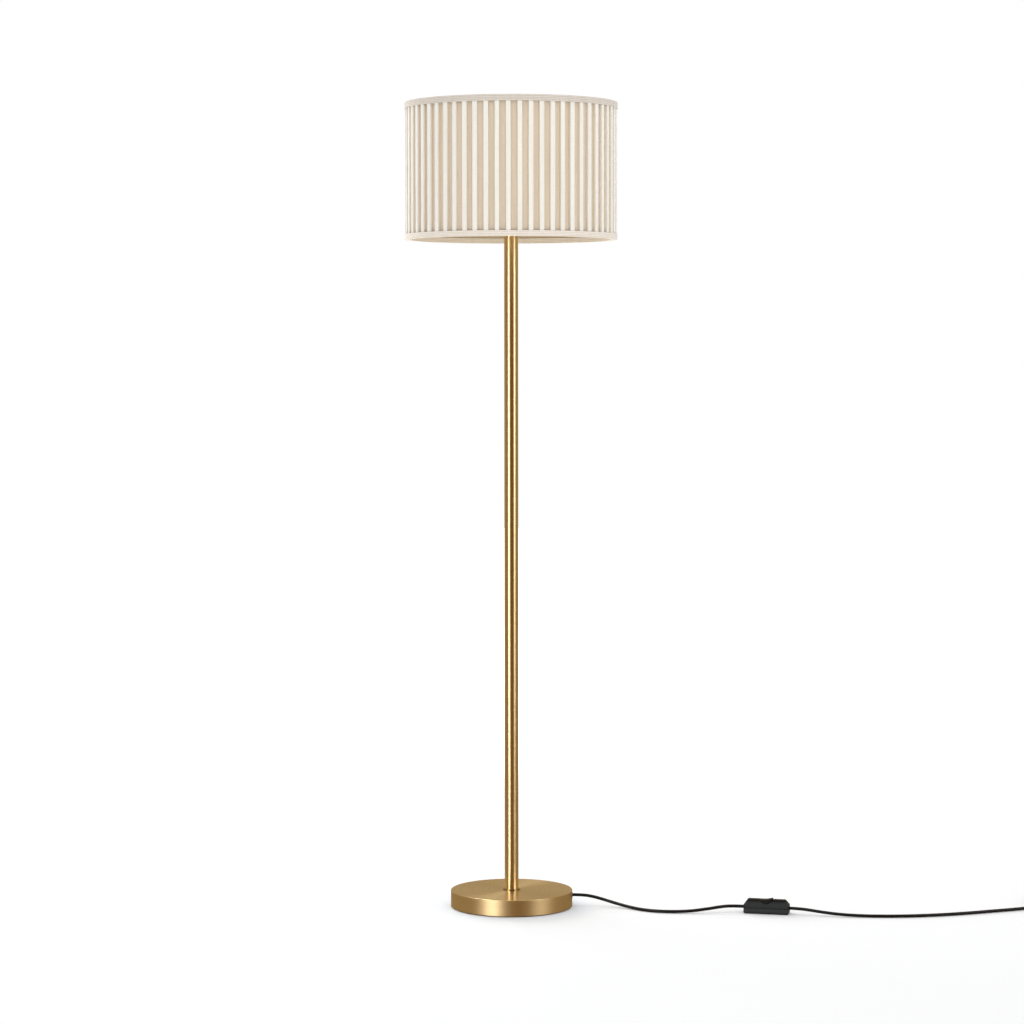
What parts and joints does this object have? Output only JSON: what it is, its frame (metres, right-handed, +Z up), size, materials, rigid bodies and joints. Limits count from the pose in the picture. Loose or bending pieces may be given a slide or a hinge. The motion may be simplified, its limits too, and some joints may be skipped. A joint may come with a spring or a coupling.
{
  "type": "floor lamp",
  "caption": "Floor lamp with a round weighted brass foot, straight brass pole, drum shade of box-pleated off-white fabric and a black lead with a rocker switch.",
  "frame": {"origin": "on the floor, on the axis of the pole and of the shade", "axes": "+Z up the pole, +X towards the side where the lead leaves the foot, -Y towards the viewer of the picture"},
  "size_m": [1.2743, 0.401, 1.5231],
  "materials": {
    "felt": "black felt",
    "zinc_plate": "zinc-plated sheet",
    "steel": "zinc-plated steel",
    "iron": "cast and painted black",
    "brass": "satin, fine turned and drawn grain, lacquered",
    "black_plastic": "moulded",
    "black_rubber": "moulded",
    "lead_sheath": "smooth extruded, low sheen",
    "phenolic": "moulded",
    "contact_brass": "plain",
    "core_insulation": "smooth extruded",
    "ceramic": "glazed",
    "bulb_metal": "pressed",
    "bulb_insulation": "black glass",
    "bulb_glass": "clear",
    "phosphor": "yellow coating",
    "white_metal": "powder coat",
    "shade_lining": "translucent off-white film",
    "shade_fabric": "pressed box pleats, fine weave",
    "band_fabric": "ribbon tape with fine ribs along it",
    "tie_plastic": "soft",
    "switch_plastic": "fine texture",
    "rocker_plastic": "smooth",
    "plug_plastic": "smooth",
    "nickel_plate": "nickel plated"
  },
  "bodies": {
    "stand": {"foot_pad": "felt", "closing_plate": "zinc_plate", "closing_plate_screws": "steel", "foot_weight": "iron", "foot_cover": "brass", "threaded_rod": "steel", "foot_washer": "steel", "foot_nut": "steel", "lead_clamp_bar": "black_plastic", "lead_clamp_screws": "steel", "lead_grommet": "black_rubber", "lead_inside": "lead_sheath", "foot_collar": "brass", "pole_foot_bush": "steel", "pole": "brass", "pole_top_bush": "steel", "holder_nipple": "steel", "holder_cap": "phenolic", "holder_terminals": "contact_brass", "holder_cores": "core_insulation", "holder_insulator": "ceramic", "holder_contact": "contact_brass", "holder_screw_shell": "contact_brass", "holder_skirt": "phenolic", "lower_shade_ring": "phenolic", "upper_shade_ring": "phenolic", "lead_to_switch": "lead_sheath", "lead_to_coil": "lead_sheath", "lead_coil": "lead_sheath", "lead_to_plug": "lead_sheath", "coil_tie": "tie_plastic", "switch_base": "switch_plastic", "switch_top": "switch_plastic", "switch_pivots": "steel", "switch_terminals": "contact_brass", "terminal_screws": "steel", "switch_cores": "core_insulation", "switch_clamp_bars": "black_plastic", "switch_clamp_screws": "steel", "switch_screws": "steel", "switch_lead_ends": "lead_sheath", "plug_body": "plug_plastic", "plug_pins": "nickel_plate"},
    "shade": {"fitter_ring": "white_metal", "fitter_arms": "white_metal", "wire_rings": "white_metal", "shade_liner": "shade_lining", "pleated_fabric": "shade_fabric", "bottom_band": "band_fabric", "top_band": "band_fabric"},
    "rocker": {"switch_rocker": "rocker_plastic", "switch_plunger": "ceramic", "switch_spring": "steel"},
    "contact_bridge": {"switch_bridge": "contact_brass"},
    "bulb_tip": {"bulb_tip": "bulb_metal", "bulb_insulator": "bulb_insulation"},
    "bulb": {"bulb_cap": "bulb_metal", "bulb_globe": "bulb_glass", "bulb_stem": "bulb_glass", "bulb_filaments": "phosphor"}
  },
  "joints": [
    {"name": "shade_swivel", "type": "hinge", "parent": "stand", "child": "shade", "pos_m": [0, 0, 1.328], "axis": [0, 0, 1], "continuous": true},
    {"name": "rocker_hinge", "type": "hinge", "parent": "stand", "child": "rocker", "pos_m": [0.4804, -0.0735, 0.0145], "axis": [0.225, 0.9744, 0], "range_deg": [0, 11]},
    {"name": "bridge_hinge", "type": "hinge", "parent": "stand", "child": "contact_bridge", "pos_m": [0.4804, -0.0735, 0.00648], "axis": [0.225, 0.9744, 0], "range_deg": [-7.7, 0]},
    {"name": "bulb_lift", "type": "slide", "parent": "stand", "child": "bulb_tip", "axis": [0, 0, 1], "range_m": [0, 0.02178]},
    {"name": "bulb_turn", "type": "hinge", "parent": "bulb_tip", "child": "bulb", "pos_m": [0, 0, 1.323], "axis": [0, 0, 1], "range_deg": [0, 2160]}
  ],
  "couplings": [
    {"joint": "bridge_hinge", "follows": "rocker_hinge", "ratio": -0.7},
    {"joint": "bulb_lift", "follows": "bulb_turn", "m_per_rad": 0.00057757}
  ]
}
